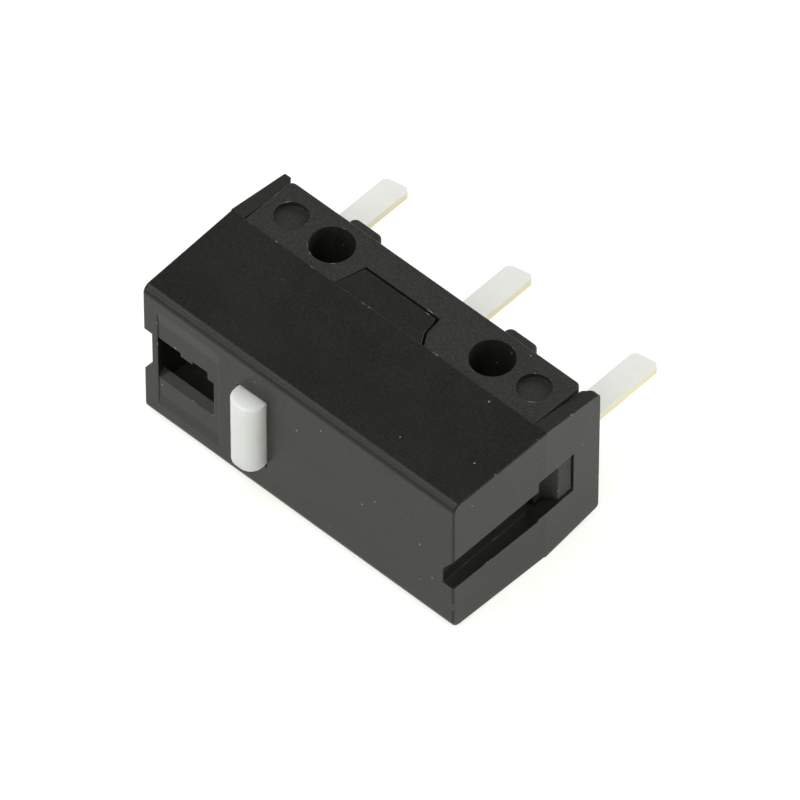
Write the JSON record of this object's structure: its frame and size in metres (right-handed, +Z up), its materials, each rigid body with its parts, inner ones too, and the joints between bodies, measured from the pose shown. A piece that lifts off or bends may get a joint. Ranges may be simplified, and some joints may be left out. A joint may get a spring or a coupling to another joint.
{
  "type": "micro switch",
  "caption": "Ultra-subminiature snap-action switch with a white pin plunger, straight printed-circuit terminals and two side mounting holes.",
  "frame": {"origin": "midway between the two mounting holes, on the broad side the switch lies on", "axes": "+X along the body from the plunger end to the far end, +Y from the plunger face towards the terminals, +Z up through the thickness, along the mounting holes"},
  "size_m": [0.0128, 0.0105, 0.0058],
  "materials": {
    "cover_black": "fine spark-eroded mould texture, black filled polyester",
    "base_black": "matt moulded black filled polyester",
    "plunger_white": "natural milky acetal",
    "terminal_silver": "silver-plated brass, brass showing on the sheared edges",
    "spring_copper": "beryllium copper leaf",
    "contact_silver": "silver contact metal"
  },
  "bodies": {
    "housing": {"cover": "cover_black", "base": "base_black", "common_terminal": "terminal_silver", "normally_open_terminal": "terminal_silver", "normally_closed_terminal": "terminal_silver", "normally_open_contact": "contact_silver", "normally_closed_contact": "contact_silver"},
    "plunger": {"plunger": "plunger_white"},
    "contact_arm": {"snap_spring": "spring_copper", "moving_contact": "contact_silver"}
  },
  "joints": [
    {"name": "plunger_press", "type": "slide", "parent": "housing", "child": "plunger", "axis": [0, 1, 0], "range_m": [0, 0.00055], "stiffness_N_per_m": 600, "springref_m": -0.0006, "deforming": ["snap_spring"]},
    {"name": "contact_swing", "type": "hinge", "parent": "housing", "child": "contact_arm", "pos_m": [-0.00508, -0.00288, 0.0029], "axis": [0, 0, 1], "range_deg": [0, 1.45]}
  ],
  "couplings": [
    {"joint": "contact_swing", "follows": "plunger_press", "rad_per_m": 45.9}
  ]
}
